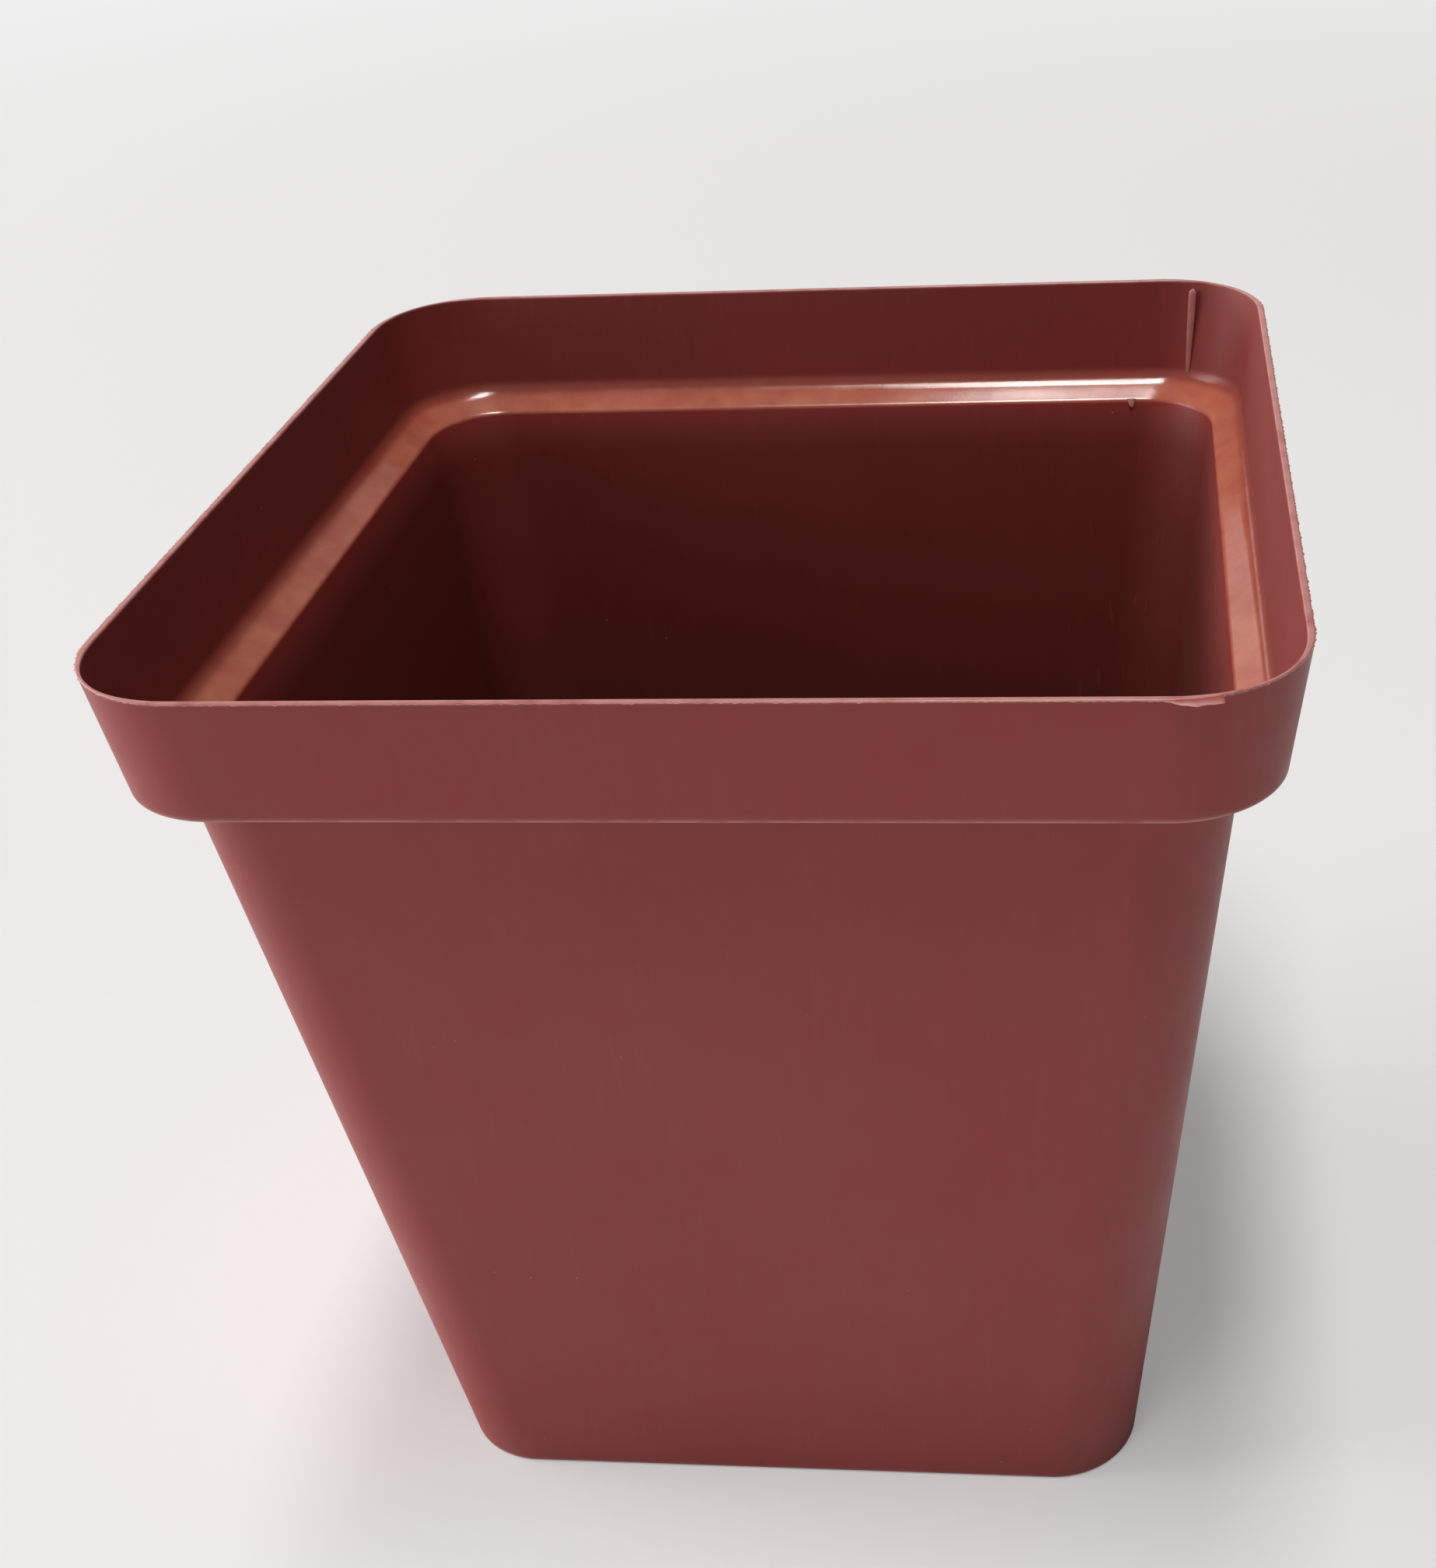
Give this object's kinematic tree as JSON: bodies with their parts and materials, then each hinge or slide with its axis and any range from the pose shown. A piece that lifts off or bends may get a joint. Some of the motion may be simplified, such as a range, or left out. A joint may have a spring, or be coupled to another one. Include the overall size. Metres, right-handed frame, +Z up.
{
  "type": "square training pot",
  "caption": "Square tapered plastic plant pot with rounded corners, a deep stepped rim band, an inner stacking ledge and a raised floor with drain holes, for raising young plants.",
  "frame": {"origin": "centre of the base, on the surface the pot stands on", "axes": "+Z up out of the pot's mouth, +X and +Y square to two neighbouring sides"},
  "size_m": [0.1, 0.1, 0.1005],
  "materials": {
    "pot_plastic": "terracotta brown polypropylene, satin outside, slightly glossier inside"
  },
  "bodies": {
    "root": {"pot": "pot_plastic"}
  },
  "joints": []
}
